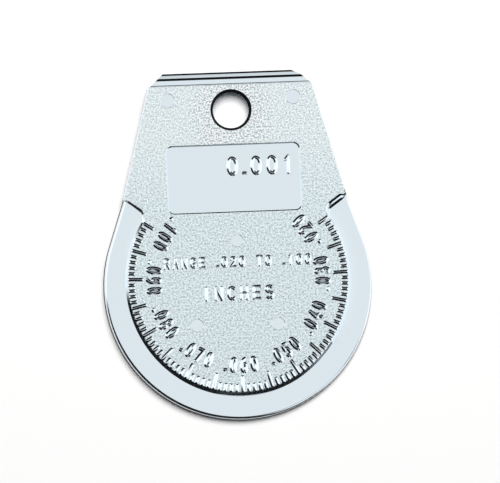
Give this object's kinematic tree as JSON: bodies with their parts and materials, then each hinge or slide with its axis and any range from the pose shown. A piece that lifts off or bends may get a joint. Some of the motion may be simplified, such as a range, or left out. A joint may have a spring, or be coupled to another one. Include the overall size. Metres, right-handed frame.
{
  "type": "spark plug gap gauge",
  "caption": "Flat cast gap gauge: a round dial face with a tapered measuring ramp round its edge, and a tapered head with a hanging hole, a label panel and a stepped bending lip.",
  "frame": {"origin": "centre of the disc, on the flat back", "axes": "+X to the right of the face (the thin end of the ramp), +Y from the disc's centre to the head, +Z out of the face"},
  "size_m": [0.048, 0.0623, 0.0031],
  "materials": {
    "cast_face": "nickel plated zinc over a finely grained cast face, bluish grey, softly glossy with a sparkling grain",
    "smooth_face": "nickel plated zinc, smooth and even, pale bluish grey, glossy"
  },
  "bodies": {
    "root": {"head_plate": "cast_face", "dial_plate": "cast_face", "scale_band": "cast_face", "label_panel": "smooth_face", "bending_lip": "smooth_face", "measuring_ramp": "smooth_face"}
  },
  "joints": []
}
